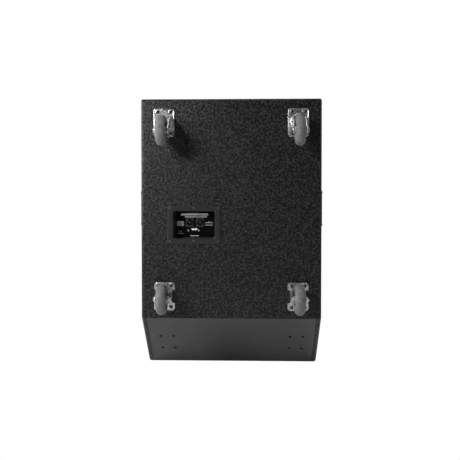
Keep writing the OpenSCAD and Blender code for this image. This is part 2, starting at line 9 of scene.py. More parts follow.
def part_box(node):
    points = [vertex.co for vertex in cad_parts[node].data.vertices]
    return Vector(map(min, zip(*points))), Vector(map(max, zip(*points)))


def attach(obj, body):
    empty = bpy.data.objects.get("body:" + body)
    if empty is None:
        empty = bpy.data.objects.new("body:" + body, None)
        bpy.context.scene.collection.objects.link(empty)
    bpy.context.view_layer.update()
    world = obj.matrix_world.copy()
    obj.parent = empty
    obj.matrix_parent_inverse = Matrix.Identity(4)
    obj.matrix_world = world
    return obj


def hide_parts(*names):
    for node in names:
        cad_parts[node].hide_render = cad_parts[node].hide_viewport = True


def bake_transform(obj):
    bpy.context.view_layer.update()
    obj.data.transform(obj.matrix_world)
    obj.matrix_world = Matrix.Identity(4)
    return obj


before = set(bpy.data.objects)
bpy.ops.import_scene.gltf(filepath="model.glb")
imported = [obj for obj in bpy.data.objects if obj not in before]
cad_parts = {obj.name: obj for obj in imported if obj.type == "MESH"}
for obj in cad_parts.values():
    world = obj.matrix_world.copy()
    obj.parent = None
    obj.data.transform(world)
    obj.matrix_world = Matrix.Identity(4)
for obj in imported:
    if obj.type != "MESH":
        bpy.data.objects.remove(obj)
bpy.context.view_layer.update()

# ---------------------------------------------------------------------------------------
# Studio. A pale floor and backdrop. The key light is at the upper left of the view, with a
# weak one at the right, one on each side, one overhead and one for the front. The camera is
# a little over two metres behind the back, and its lens is shifted to keep it nearly square.

bpy.ops.object.select_all(action="DESELECT")
bpy.ops.object.camera_add(location=(-0.058, 2.713, 0.579))
camera = bpy.context.object
aim = Vector((0.022, 0.381, 0.516))
camera.rotation_euler = (aim - camera.location).to_track_quat("-Z", "Y").to_euler()
camera.data.sensor_width = 36
camera.data.lens = 54.1
camera.data.shift_x = 0.0118
camera.data.shift_y = -0.0186
bpy.context.scene.camera = camera
bpy.context.scene.view_settings.view_transform = "Standard"


def soft_light(name, place, target, size, watts):
    bpy.ops.object.light_add(type="AREA", location=place)
    lamp = bpy.context.object
    lamp.name = name
    lamp.rotation_euler = (Vector(target) - Vector(place)).to_track_quat("-Z", "Y").to_euler()
    lamp.data.shape = "DISK"
    lamp.data.size = size
    lamp.data.energy = watts


soft_light("key_light", (1.35, 1.7, 1.45), (0.15, 0.38, 0.6), 0.8, 44)
soft_light("fill_light", (-2.6, 2.0, 1.2), (0.0, 0.3, 0.4), 1.6, 6)
soft_light("side_light", (2.0, 0.3, 0.9), (0.3, 0.4, 0.5), 0.9, 20)
soft_light("top_light", (0.0, 0.2, 3.0), (0.0, 0.2, 0.0), 1.6, 14)
soft_light("front_light", (-1.2, -3.0, 2.0), (0.0, -0.3, 0.4), 1.6, 60)
soft_light("far_side_light", (-2.6, -0.6, 1.6), (-0.3, 0.0, 0.5), 1.6, 24)

world = bpy.data.worlds.new("studio")
bpy.context.scene.world = world
world.use_nodes = True
sky = world.node_tree.nodes["Background"]
sky.inputs["Color"].default_value = (1, 1, 1, 1)
sky.inputs["Strength"].default_value = 0.06


def seen_white(tree, lit, target):
    """Plain white where it is seen directly; its own weaker light falls on the cabinet."""
    kind = "Background" if target.type == "OUTPUT_WORLD" else "Emission"
    white = tree.nodes.new("ShaderNode" + kind)
    white.inputs["Color"].default_value = (1, 1, 1, 1)
    ray = tree.nodes.new("ShaderNodeLightPath")
    choose = tree.nodes.new("ShaderNodeMixShader")
    tree.links.new(ray.outputs["Is Camera Ray"], choose.inputs["Fac"])
    tree.links.new(lit.outputs[0], choose.inputs[1])
    tree.links.new(white.outputs[0], choose.inputs[2])
    tree.links.new(choose.outputs["Shader"], target.inputs["Surface"])


seen_white(world.node_tree, sky, world.node_tree.nodes["World Output"])

bpy.ops.object.select_all(action="DESELECT")
bpy.ops.mesh.primitive_circle_add(vertices=96, radius=30, fill_type="NGON")
floor = bpy.context.object
floor.name = "floor"
floor_paint = bpy.data.materials.new("floor_paint")
floor_paint.use_nodes = True
floor_shader = floor_paint.node_tree.nodes["Principled BSDF"]
floor_shader.inputs["Base Color"].default_value = (0.8, 0.8, 0.8, 1)
floor_shader.inputs["Roughness"].default_value = 0.9
seen_white(floor_paint.node_tree, floor_shader, floor_paint.node_tree.nodes["Material Output"])
floor.data.materials.append(floor_paint)

# ---------------------------------------------------------------------------------------
# Outer shell. 18 mm birch plywood panels, glued, with all outside edges rounded over, then
# sprayed with a thick black coating that dries to a coarse pebbled skin. The chamfer panel
# was rolled with a thinner coat, so it is smoother.


def new_material(name, colour, roughness, metallic=0.0, gloss=0.5):
    paint = bpy.data.materials.new(name)
    paint.use_nodes = True
    shader = paint.node_tree.nodes["Principled BSDF"]
    shader.inputs["Base Color"].default_value = (*colour, 1)
    shader.inputs["Roughness"].default_value = roughness
    shader.inputs["Metallic"].default_value = metallic
    shader.inputs["Specular IOR Level"].default_value = gloss
    return paint


def wire_up(paint, start, end):
    paint.node_tree.links.new(start, end)


def grain(paint, scale, detail=2.0, stretch=(1, 1, 1), cells=False):
    """Noise, or round cells, in the piece's own space, with scale in cells a metre."""
    nodes = paint.node_tree.nodes
    place = nodes.new("ShaderNodeTexCoord")
    stretched = nodes.new("ShaderNodeMapping")
    stretched.inputs["Scale"].default_value = stretch
    wire_up(paint, place.outputs["Object"], stretched.inputs["Vector"])
    texture = nodes.new("ShaderNodeTexVoronoi" if cells else "ShaderNodeTexNoise")
    if cells:
        texture.feature = "SMOOTH_F1"
        texture.inputs["Smoothness"].default_value = 0.6
    else:
        texture.inputs["Detail"].default_value = detail
    texture.inputs["Scale"].default_value = scale
    wire_up(paint, stretched.outputs["Vector"], texture.inputs["Vector"])
    return texture.outputs["Distance" if cells else "Fac"]


def tint(paint, factor, low, high, start=0.35, end=0.65):
    """Base colour that runs from low to high as factor goes from start to end."""
    ramp = paint.node_tree.nodes.new("ShaderNodeValToRGB")
    ramp.color_ramp.elements[0].position = start
    ramp.color_ramp.elements[0].color = (*low, 1)
    ramp.color_ramp.elements[1].position = end
    ramp.color_ramp.elements[1].color = (*high, 1)
    wire_up(paint, factor, ramp.inputs["Fac"])
    wire_up(paint, ramp.outputs["Color"], paint.node_tree.nodes["Principled BSDF"].inputs["Base Color"])


def sheen_spread(paint, factor, low, high):
    """Roughness from low to high as factor goes from 0.3 to 0.7."""
    spread = paint.node_tree.nodes.new("ShaderNodeMapRange")
    spread.inputs["From Min"].default_value = 0.3
    spread.inputs["From Max"].default_value = 0.7
    spread.inputs["To Min"].default_value = low
    spread.inputs["To Max"].default_value = high
    wire_up(paint, factor, spread.inputs["Value"])
    wire_up(paint, spread.outputs["Result"], paint.node_tree.nodes["Principled BSDF"].inputs["Roughness"])


def relief(paint, *layers):
    """Bumps, each layer a pair of a height socket and its depth in metres."""
    last = None
    for height, depth in layers:
        bump = paint.node_tree.nodes.new("ShaderNodeBump")
        bump.inputs["Strength"].default_value = 1.0
        bump.inputs["Distance"].default_value = depth
        wire_up(paint, height, bump.inputs["Height"])
        if last:
            wire_up(paint, last, bump.inputs["Normal"])
        last = bump.outputs["Normal"]
    wire_up(paint, last, paint.node_tree.nodes["Principled BSDF"].inputs["Normal"])


def dress(node, paint):
    """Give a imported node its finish."""
    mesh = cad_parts[node].data
    mesh.materials.clear()
    mesh.materials.append(paint)


spray_coat = new_material("spray_coat", (0.014, 0.014, 0.014), 0.35, gloss=0.3)
spatter = grain(spray_coat, 150, 3.0)
tint(spray_coat, spatter, (0.0003, 0.0003, 0.0003), (0.028, 0.028, 0.028), 0.46, 0.58)
sheen_spread(spray_coat, grain(spray_coat, 220, 2.0), 0.22, 0.45)
relief(spray_coat, (grain(spray_coat, 170, 3.0), 0.0014), (grain(spray_coat, 420, cells=True), 0.0006))
for panel in ("left_side_panel", "right_side_panel", "top_panel", "bottom_panel", "back_panel"):
    dress(panel, spray_coat)

rolled_coat = new_material("rolled_coat", (0.014, 0.014, 0.014), 0.42, gloss=0.9)
tint(rolled_coat, grain(rolled_coat, 60, 4.0), (0.012, 0.012, 0.013), (0.018, 0.018, 0.019))
sheen_spread(rolled_coat, grain(rolled_coat, 30, 3.0), 0.4, 0.5)
relief(rolled_coat, (grain(rolled_coat, 700, 3.0), 0.00025))
dress("chamfer_panel", rolled_coat)

# ---------------------------------------------------------------------------------------
# Woodwork inside. The driver baffle, the horn's shelf and splitter, the front frame and the
# hatch are the same plywood, brushed with thin matt black paint that lets the grain show.

brushed_black = new_material("brushed_black", (0.015, 0.014, 0.013), 0.75)
tint(brushed_black, grain(brushed_black, 40, 6.0, (1, 9, 9)), (0.009, 0.009, 0.009), (0.024, 0.022, 0.02))
relief(brushed_black, (grain(brushed_black, 90, 5.0, (1, 8, 8)), 0.0004))
for panel in ("driver_baffle", "horn_shelf", "splitter_panel", "front_frame", "access_hatch"):
    dress(panel, brushed_black)

sealing_strip = new_material("sealing_strip", (0.02, 0.02, 0.02), 0.95)
tint(sealing_strip, grain(sealing_strip, 900, 2.0), (0.01, 0.01, 0.01), (0.03, 0.03, 0.03))
relief(sealing_strip, (grain(sealing_strip, 1200, cells=True), 0.0003))
dress("hatch_gasket", sealing_strip)

# ---------------------------------------------------------------------------------------
# Bass driver. An eight-legged cast aluminium basket in black powder coat holds the ferrite
# magnet between two plated steel plates. A paper cone with a pressed dust cap hangs from a
# doped, pleated cloth surround and a spider, and drives the throat through the baffle.

basket_coat = new_material("basket_coat", (0.02, 0.02, 0.021), 0.45)
tint(basket_coat, grain(basket_coat, 500, 3.0), (0.014, 0.014, 0.015), (0.034, 0.034, 0.035))
relief(basket_coat, (grain(basket_coat, 900, cells=True), 0.0002))
dress("driver_basket", basket_coat)

ferrite_grey = new_material("ferrite_grey", (0.03, 0.029, 0.028), 0.55)
tint(ferrite_grey, grain(ferrite_grey, 120, 6.0), (0.018, 0.017, 0.017), (0.055, 0.053, 0.05))
relief(ferrite_grey, (grain(ferrite_grey, 300, 5.0), 0.0004))
dress("driver_magnet", ferrite_grey)

plated_steel = new_material("plated_steel", (0.5, 0.48, 0.42), 0.35, 1.0)
tint(plated_steel, grain(plated_steel, 60, 5.0), (0.4, 0.37, 0.3), (0.6, 0.58, 0.52))
sheen_spread(plated_steel, grain(plated_steel, 250, 4.0), 0.25, 0.45)
relief(plated_steel, (grain(plated_steel, 800, 2.0, (1, 1, 0.1)), 0.0001))
dress("driver_front_plate", plated_steel)
dress("driver_yoke", plated_steel)

cone_pulp = new_material("cone_pulp", (0.03, 0.029, 0.027), 0.85)
tint(cone_pulp, grain(cone_pulp, 260, 8.0), (0.015, 0.015, 0.014), (0.06, 0.057, 0.052))
relief(cone_pulp, (grain(cone_pulp, 500, 8.0), 0.0006), (grain(cone_pulp, 90, 2.0), 0.0008))
dress("driver_cone", cone_pulp)
dress("driver_dust_cap", cone_pulp)

doped_cloth = new_material("doped_cloth", (0.016, 0.016, 0.016), 0.35)
tint(doped_cloth, grain(doped_cloth, 1500, 1.0), (0.01, 0.01, 0.01), (0.03, 0.03, 0.03))
sheen_spread(doped_cloth, grain(doped_cloth, 80, 4.0), 0.22, 0.5)
relief(doped_cloth, (grain(doped_cloth, 1800, cells=True), 0.0003))

spider_weave = new_material("spider_weave", (0.35, 0.24, 0.1), 0.8)
tint(spider_weave, grain(spider_weave, 1400, 1.0), (0.25, 0.16, 0.06), (0.5, 0.37, 0.18))
relief(spider_weave, (grain(spider_weave, 1600, cells=True), 0.0004))

coil_wire = new_material("coil_wire", (0.7, 0.3, 0.12), 0.3, 1.0)
tint(coil_wire, grain(coil_wire, 1200, 1.0), (0.6, 0.22, 0.08), (0.8, 0.4, 0.2))
relief(coil_wire, (grain(coil_wire, 2500, 1.0), 0.0001))
dress("driver_voice_coil", coil_wire)

black_oxide = new_material("black_oxide", (0.06, 0.06, 0.062), 0.38, 0.7)
tint(black_oxide, grain(black_oxide, 700, 4.0), (0.035, 0.035, 0.037), (0.1, 0.098, 0.095))
sheen_spread(black_oxide, grain(black_oxide, 900, 3.0), 0.3, 0.5)
relief(black_oxide, (grain(black_oxide, 1500, 3.0), 0.0001))
dress("driver_bolts", black_oxide)

wire_jacket = new_material("wire_jacket", (0.025, 0.025, 0.027), 0.5)
tint(wire_jacket, grain(wire_jacket, 200, 4.0), (0.016, 0.016, 0.018), (0.04, 0.04, 0.043))
relief(wire_jacket, (grain(wire_jacket, 1200, 2.0), 0.0002))
dress("speaker_wire", wire_jacket)

# ---------------------------------------------------------------------------------------
# Hatch screws. Twelve black wood screws with low domed heads and cross recesses pull the
# hatch down on its gasket.

mm = 0.001


def alone(piece):
    bpy.ops.object.select_all(action="DESELECT")
    piece.select_set(True)
    bpy.context.view_layer.objects.active = piece


def editing(piece):
    alone(piece)
    bpy.ops.object.mode_set(mode="EDIT")


def done():
    bpy.ops.object.mode_set(mode="OBJECT")


def pick(kind, test):
    """Select the parts of the mesh in edit mode that pass the test, and only those."""
    bpy.ops.mesh.select_mode(type=kind)
    bpy.ops.mesh.select_all(action="DESELECT")
    shape = bmesh.from_edit_mesh(bpy.context.object.data)
    for part in {"VERT": shape.verts, "EDGE": shape.edges, "FACE": shape.faces}[kind]:
        if test(part):
            part.select_set(True)
    bmesh.update_edit_mesh(bpy.context.object.data)


def block(wide, high, deep, at=(0, 0, 0)):
    """A squared block in millimetres, centred at a place."""
    bpy.ops.object.select_all(action="DESELECT")
    spot = Vector(at) * mm
    bpy.ops.mesh.primitive_cube_add(size=1, location=spot, scale=(wide * mm, high * mm, deep * mm))
    piece = bpy.context.object
    bpy.ops.object.transform_apply(location=True, rotation=True, scale=True)
    return piece


def rod(radius, start, end, at=(0, 0), sides=32):
    """A round or many-sided bar along Z, in millimetres."""
    bpy.ops.object.select_all(action="DESELECT")
    spot = (at[0] * mm, at[1] * mm, (start + end) / 2 * mm)
    bpy.ops.mesh.primitive_cylinder_add(
        vertices=sides, radius=radius * mm, depth=(end - start) * mm, location=spot)
    piece = bpy.context.object
    bpy.ops.object.transform_apply(location=True, rotation=True, scale=True)
    return piece


def turned(outline, steps=40):
    """A piece turned about Z: a point is extruded along radius and height pairs, then spun."""
    bpy.ops.object.select_all(action="DESELECT")
    bpy.ops.mesh.primitive_plane_add(size=mm)
    piece = bpy.context.object
    editing(piece)
    bpy.ops.mesh.select_mode(type="VERT")
    bpy.ops.mesh.merge(type="CENTER")
    bpy.ops.transform.translate(value=(outline[0][0] * mm, 0, outline[0][1] * mm))
    for here, there in zip(outline, outline[1:]):
        step = ((there[0] - here[0]) * mm, 0, (there[1] - here[1]) * mm)
        bpy.ops.mesh.extrude_region_move(TRANSFORM_OT_translate={"value": step})
    bpy.ops.mesh.select_all(action="SELECT")
    bpy.ops.mesh.spin(steps=steps, angle=math.tau, center=(0, 0, 0), axis=(0, 0, 1))
    bpy.ops.mesh.select_all(action="SELECT")
    bpy.ops.mesh.remove_doubles(threshold=mm / 200)
    bpy.ops.mesh.normals_make_consistent(inside=False)
    done()
    return piece


def arc(centre, radius, start, end, steps):
    """Points on an arc about a centre, with angles in degrees."""
    turns = [math.radians(start + (end - start) * i / steps) for i in range(steps + 1)]
    return [(centre[0] + radius * math.cos(t), centre[1] + radius * math.sin(t)) for t in turns]


def combine(piece, other, how="DIFFERENCE"):
    """Cut another piece out of this one, or weld it on with how set to UNION."""
    join = piece.modifiers.new("join", "BOOLEAN")
    join.operation = how
    join.solver = "EXACT"
    join.object = other
    alone(piece)
    bpy.ops.object.modifier_apply(modifier="join")
    bpy.data.objects.remove(other)
    return piece


def round_edges(piece, width, steps=2, angle=40):
    """Round every edge that is sharper than the angle."""
    soften = piece.modifiers.new("soften", "BEVEL")
    soften.width = width * mm
    soften.segments = steps
    soften.angle_limit = math.radians(angle)
    soften.limit_method = "ANGLE"
    alone(piece)
    bpy.ops.object.modifier_apply(modifier="soften")
    return piece


def put(piece, place):
    piece.data.transform(place)
    return piece


def copy_of(pattern, place):
    """A copy of a pattern piece, with its own mesh, at a place."""
    one = pattern.copy()
    one.data = pattern.data.copy()
    bpy.context.collection.objects.link(one)
    return put(one, place)


def set_of(pattern, places):
    """Copies of a pattern piece at each place, joined into one object."""
    copies = [copy_of(pattern, place) for place in places]
    bpy.data.objects.remove(pattern)
    alone(copies[0])
    for one in copies:
        one.select_set(True)
    bpy.ops.object.join()
    return bpy.context.object


def fit(piece, name, paint, body, slot, *stands_for, smooth=35):
    """Name a piece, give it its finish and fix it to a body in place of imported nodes."""
    piece.name = name
    piece.data.name = name
    piece.data.materials.clear()
    piece.data.materials.append(paint)
    alone(piece)
    bpy.ops.object.shade_smooth_by_angle(angle=math.radians(smooth))
    if body:
        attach(piece, body)
    if stands_for:
        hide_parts(*stands_for)
    return piece


def domed_screw(head_r, head_h, shank_r, length, socket="cross"):
    """A screw along -Z with its head on the surface at z = 0."""
    dome_r = (head_r * head_r + head_h * head_h) / (2 * head_h) * 1.15
    top = [(dome_r * math.sin(t), head_h - dome_r * (1 - math.cos(t)))
           for t in (math.asin(head_r / dome_r) * i / 5 for i in range(6))]
    tip = length - shank_r * 1.6
    piece = turned(top + [(head_r, 0), (shank_r, 0), (shank_r, -tip), (0.2, -length), (0, -length)], 28)
    if socket == "cross":
        for turn in (0, 90):
            slit = block(head_r * 1.15, head_r * 0.24, head_h * 1.5, (0, 0, head_h))
            editing(slit)
            pick("FACE", lambda face: face.normal.z < -0.9)
            bpy.ops.transform.resize(value=(0.35, 0.6, 1))
            done()
            combine(piece, put(slit, Matrix.Rotation(math.radians(turn), 4, "Z")))
    else:
        combine(piece, rod(head_r * 0.42, head_h * 0.25, head_h * 2, sides=6))
    return piece


def facing(x, y, z):
    """Local x runs right and y up as seen from the front, and z points out of the front."""
    return Matrix.Translation(Vector((x, y, z)) * mm) @ Matrix.Rotation(math.radians(90), 4, "X")


batten = 24
ledge = 12
front_skin = -362
hatch_low, hatch_high = (corner.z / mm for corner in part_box("access_hatch"))
hatch_rows = [hatch_low - 0.5 + ledge / 2 + (hatch_high - hatch_low + 1 - ledge) * i / 3 for i in range(4)]
hatch_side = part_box("access_hatch")[1].x / mm + 0.5 - ledge / 2
hatch_spots = [(side * hatch_side, z) for side in (-1, 1) for z in hatch_rows]
hatch_spots += [(side * hatch_side / 3, z) for side in (-1, 1) for z in (hatch_rows[0], hatch_rows[-1])]
hatch_screws = set_of(domed_screw(4.5, 2.6, 2, 34), [facing(x, front_skin, z) for x, z in hatch_spots])
fit(hatch_screws, "hatch_screw_set", black_oxide, "cabinet", "black_screws", "hatch_screws")

# ---------------------------------------------------------------------------------------
# Driver suspension. The pleated cloth surround is glued to the basket's rim and the cone's
# edge, and the pleated spider to the basket and the coil. Both stretch as the cone travels.

driver_y, driver_z, baffle_lean = 22, 640, 11.5
facing_driver = Matrix.Translation((0, driver_y * mm, driver_z * mm)) @ Matrix.Rotation(
    math.radians(baffle_lean - 90), 4, "X")
coil_edge, spider_edge, pleats = 51.5, 116, 12
surround_line = [(188, -13.05), (194, -11.75), (196, -8.4), (198, -10.6), (200, -5.6), (202, -7.8),
                 (204, -2.3), (207, -2.3)]
spider_line = [(coil_edge + (spider_edge - coil_edge) * i / pleats, -91.5 - 0.25 * i + 2.4 * (i % 2))
               for i in range(pleats + 1)]


def stretching_ring(line, thick, name, paint, slot, node):
    """A ring turned from an outline and its copy a thickness lower, set on the driver's axis."""
    under = [(r, z - thick) for r, z in reversed(line)]
    ring = put(turned(line + under + line[:1], 96), facing_driver)
    fit(ring, name, paint, None, slot, node)
    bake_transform(ring)


stretching_ring(surround_line, 1.4, "surround_cloth", doped_cloth,
                "doped_cloth", "driver_surround")
stretching_ring(spider_line, 0.9, "spider_disc", spider_weave,
                "spider_cloth", "driver_spider")

# ---------------------------------------------------------------------------------------
# Grille foam. A slab of open-cell acoustic foam, cut a little larger than its pocket so that
# it presses on the back of the grille.

foam_low, foam_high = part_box("grille_foam")
foam_size = (foam_high - foam_low) / mm
foam_middle = (foam_low + foam_high) / 2 / mm
foam = block(foam_size.x, foam_size.y, foam_size.z, foam_middle)
editing(foam)
pick("EDGE", lambda edge: abs(edge.verts[0].co.y - edge.verts[1].co.y) < mm)
bpy.ops.mesh.subdivide(number_cuts=39)
bpy.ops.mesh.select_all(action="SELECT")
bpy.ops.transform.vertex_random(offset=0.5 * mm, seed=7)
done()
for vert in foam.data.vertices:
    vert.co = Vector(max(low, min(high, value))
                     for low, value, high in zip(foam_low, vert.co, foam_high))
open_foam = new_material("open_foam", (0.012, 0.012, 0.013), 1.0)
tint(open_foam, grain(open_foam, 600, cells=True), (0.003, 0.003, 0.003), (0.03, 0.03, 0.032), 0.2, 0.7)
relief(open_foam, (grain(open_foam, 600, cells=True), 0.001), (grain(open_foam, 1500, 3.0), 0.0004))
fit(foam, "foam_slab", open_foam, "cabinet", "grille_foam", "grille_foam")

# ---------------------------------------------------------------------------------------
# Grille. Steel sheet 1.5 mm thick, punched with close rows of six-sided holes inside a plain
# margin, folded back 15 mm all round and powder coated black. Ten screws hold it on.

grille_low, grille_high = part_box("grille")
sheet = 1.5 * mm
hole_pitch = 9.6 * mm
web = 2.0 * mm
margin = 19 * mm
row_pitch = hole_pitch * math.sqrt(3) / 2
half_wide = grille_high.x
mid_z = (grille_low.z + grille_high.z) / 2
half_high = grille_high.z - mid_z
columns = 2 * math.ceil(half_wide / hole_pitch) + 2
rows = 2 * math.ceil(half_high / row_pitch / 2) + 2

bpy.ops.object.select_all(action="DESELECT")
bpy.ops.mesh.primitive_circle_add(
    vertices=6, radius=hole_pitch / math.sqrt(3), fill_type="NGON",
    location=(-columns / 2 * hole_pitch, -rows * row_pitch, 0))
grille = bpy.context.object
bpy.ops.object.transform_apply(location=True, rotation=True, scale=True)
editing(grille)
bpy.ops.mesh.select_all(action="SELECT")
bpy.ops.mesh.duplicate_move(TRANSFORM_OT_translate={"value": (hole_pitch / 2, row_pitch, 0)})
done()
for name, count, step in (("across", columns, (hole_pitch, 0, 0)), ("up", rows, (0, 2 * row_pitch, 0))):
    repeat = grille.modifiers.new(name, "ARRAY")
    repeat.count = count
    repeat.use_relative_offset = False
    repeat.use_constant_offset = True
    repeat.constant_offset_displace = step
    alone(grille)
    bpy.ops.object.modifier_apply(modifier=name)
editing(grille)
bpy.ops.mesh.select_all(action="SELECT")
bpy.ops.mesh.remove_doubles(threshold=hole_pitch / 50)


def in_field(point):
    return abs(point.x) < half_wide - margin and abs(point.y) < half_high - margin


pick("FACE", lambda face: in_field(face.calc_center_median()))
bpy.ops.mesh.select_mode(type="EDGE")
bpy.ops.mesh.bevel(offset=web / 2, segments=1, affect="EDGES")
pick("FACE", lambda face: in_field(face.calc_center_median()) and len(face.verts) == 6
     and face.calc_area() > hole_pitch * hole_pitch / 4)
bpy.ops.mesh.delete(type="FACE")
corner_r = 4 * mm
for turn in range(0, 360, 15):
    way = Vector((math.cos(math.radians(turn)), math.sin(math.radians(turn)), 0))
    corner = Vector((math.copysign(half_wide - corner_r, way.x),
                     math.copysign(half_high - corner_r, way.y), 0))
    if turn % 90 == 0:
        corner = Vector((way.x * (half_wide - corner_r), way.y * (half_high - corner_r), 0))
    bpy.ops.mesh.select_all(action="SELECT")
    bpy.ops.mesh.bisect(plane_co=corner + way * corner_r, plane_no=way, clear_outer=True)
pick("EDGE", lambda edge: edge.is_boundary
     and not in_field((edge.verts[0].co + edge.verts[1].co) / 2 * 1.02))
bpy.ops.mesh.extrude_region_move(TRANSFORM_OT_translate={"value": (0, 0, -15 * mm)})
done()
round_edges(grille, 1.2, 2, 60)
thicken = grille.modifiers.new("thicken", "SOLIDIFY")
thicken.thickness = sheet
thicken.offset = -1
alone(grille)
bpy.ops.object.modifier_apply(modifier="thicken")
put(grille, Matrix.Translation((0, grille_low.y, mid_z)) @ Matrix.Rotation(math.radians(90), 4, "X"))

powder_coat = new_material("powder_coat", (0.018, 0.018, 0.019), 0.42)
tint(powder_coat, grain(powder_coat, 350, 4.0), (0.012, 0.012, 0.013), (0.028, 0.028, 0.029))
sheen_spread(powder_coat, grain(powder_coat, 90, 4.0), 0.36, 0.5)
relief(powder_coat, (grain(powder_coat, 1100, 3.0), 0.0002))
fit(grille, "grille_sheet", powder_coat, "cabinet", "grille_steel", "grille")

panel_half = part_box("back_panel")[1].x / mm
side_x = panel_half - batten / 2
floor_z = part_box("bottom_panel")[1].z / mm + batten / 2
ceiling_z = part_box("top_panel")[0].z / mm - batten / 2
grille_rows = [floor_z + (ceiling_z - floor_z) * i / 3 for i in range(4)]
grille_spots = [(side * side_x, z) for side in (-1, 1) for z in grille_rows]
grille_spots += [(0, z) for z in (grille_rows[0], grille_rows[-1])]
grille_screws = set_of(
    domed_screw(5, 2.8, 2, 34), [facing(x, grille_low.y / mm, z) for x, z in grille_spots])
fit(grille_screws, "grille_screw_set", black_oxide, "cabinet", "black_screws", "grille_screws")

# ---------------------------------------------------------------------------------------
# Side handles. Four black polypropylene cups, each moulded in one piece with a wide flange
# and a thick grip bar across its upper half. Four screws hold each one in the side panel.

cup_plastic = new_material("cup_plastic", (0.017, 0.017, 0.018), 0.5)
tint(cup_plastic, grain(cup_plastic, 40, 3.0), (0.013, 0.013, 0.014), (0.022, 0.022, 0.023))
sheen_spread(cup_plastic, grain(cup_plastic, 130, 3.0), 0.42, 0.6)
relief(cup_plastic, (grain(cup_plastic, 900, cells=True), 0.0003))


def shift(way):
    return {"value": tuple(step * mm for step in way)}


def widen(wide, high):
    bpy.ops.transform.resize(value=(wide, high, 1))


def moulded_cup(flange, mouth, wall, deep, corners, draw, lip):
    """A flanged cup pressed into local -Z from one block, its flange standing on z = 0."""
    cup = block(flange[0], flange[1], wall, (0, 0, wall / 2))
    editing(cup)
    for up, more in ((1, 0), (-1, 2 * wall)):
        opening = (mouth[0] + more, mouth[1] + more)
        inset = (flange[1] - opening[1]) / 2
        pick("FACE", lambda face: face.normal.z * up > 0.9)
        bpy.ops.mesh.inset(thickness=inset * mm, depth=0)
        widen(opening[0] / (flange[0] - 2 * inset), 1)
        bpy.ops.mesh.extrude_region_move(TRANSFORM_OT_translate=shift((0, 0, -deep)))
    for half, radius in zip((flange[0] / 2, mouth[0] / 2, mouth[0] / 2 + wall), corners):
        pick("EDGE", lambda edge: abs(edge.verts[0].co.z - edge.verts[1].co.z) > wall / 2 * mm
             and abs(abs(edge.verts[0].co.x) - half * mm) < 0.1 * mm)
        bpy.ops.mesh.bevel(offset=radius * mm, segments=6)
    rim = (mouth[0] / 2 + 0.1, mouth[1] / 2 + 0.1)
    pick("EDGE", lambda edge: all(vert.co.z > (wall - 0.1) * mm and abs(vert.co.x) < rim[0] * mm
                                  and abs(vert.co.y) < rim[1] * mm for vert in edge.verts))
    bpy.ops.mesh.bevel(offset=draw * mm, segments=5)
    done()
    return round_edges(cup, lip, 3, 50)


handle_names = [f"{end}_{side}" for side in ("left", "right") for end in ("front", "rear")]
handle_wall = 3
handle_mouth = (144, 94)
side_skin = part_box("left_side_panel")[1].x / mm


def facing_side(side, y, z):
    """Local x runs along the cabinet and y up, and z points out of the side."""
    turn = Matrix(((0, 0, side, 0), (side, 0, 0, 0), (0, 1, 0, 0), (0, 0, 0, 1)))
    return Matrix.Translation(Vector((side * side_skin, y, z)) * mm) @ turn


handle_low, handle_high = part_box("front_left_handle")
handle_size = (handle_high - handle_low) / mm
skin = handle_high.x / mm - handle_wall - side_skin
cup_pattern = moulded_cup(
    (handle_size.y, handle_size.z), handle_mouth, handle_wall, handle_size.x - handle_wall,
    (14, 10, 13), 2.5, 1.4)
grip = turned([(0, -73), (14.5, -73), (14.5, -70)]
              + arc((17, -60), 6, 240, 180, 5) + [(11, -50), (11, 50)]
              + arc((17, 60), 6, 180, 120, 5) + [(14.5, 70), (14.5, 73), (0, 73)], 36)
editing(grip)
pick("EDGE", lambda edge: edge.calc_length() > 90 * mm)
bpy.ops.mesh.subdivide(number_cuts=24)
pick("VERT", lambda vert: abs(vert.co.z) < 49 * mm and round(vert.co.z / mm / 4) % 2 == 0)
widen(0.955, 0.955)
done()
put(grip, Matrix.Translation((0, 17 * mm, -13 * mm)) @ Matrix.Rotation(math.radians(90), 4, "Y"))
combine(cup_pattern, grip, "UNION")

screw_places = []
for name in handle_names:
    low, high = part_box(f"{name}_handle")
    side = 1 if low.x > 0 else -1
    middle = (low + high) / 2 / mm
    place = facing_side(side, middle.y, middle.z) @ Matrix.Translation((0, 0, skin * mm))
    cup = copy_of(cup_pattern, place)
    fit(cup, f"{name}_grip_cup", cup_plastic, "cabinet", "handle_plastic", f"{name}_handle")
    for along in (-79, 79):
        for up in (-54, 54):
            screw_places.append(place @ Matrix.Translation(Vector((along, up, handle_wall)) * mm))
bpy.data.objects.remove(cup_pattern)
handle_screws = set_of(domed_screw(4, 2.4, 1.8, 18), screw_places)
fit(handle_screws, "handle_screw_set", black_oxide, "cabinet", "black_screws", "handle_screws")

# ---------------------------------------------------------------------------------------
# Tee nuts. Sixteen zinc-plated nuts are pressed into the wood from inside: eight take the
# caster screws, and the eight in the chamfer are spare and stay open.

tee_nut_zinc = new_material("tee_nut_zinc", (0.2, 0.2, 0.19), 0.45, 1.0)
tint(tee_nut_zinc, grain(tee_nut_zinc, 300, 4.0), (0.12, 0.12, 0.11), (0.3, 0.29, 0.27))
relief(tee_nut_zinc, (grain(tee_nut_zinc, 600, 3.0), 0.0002))
dress("tee_nuts", tee_nut_zinc)
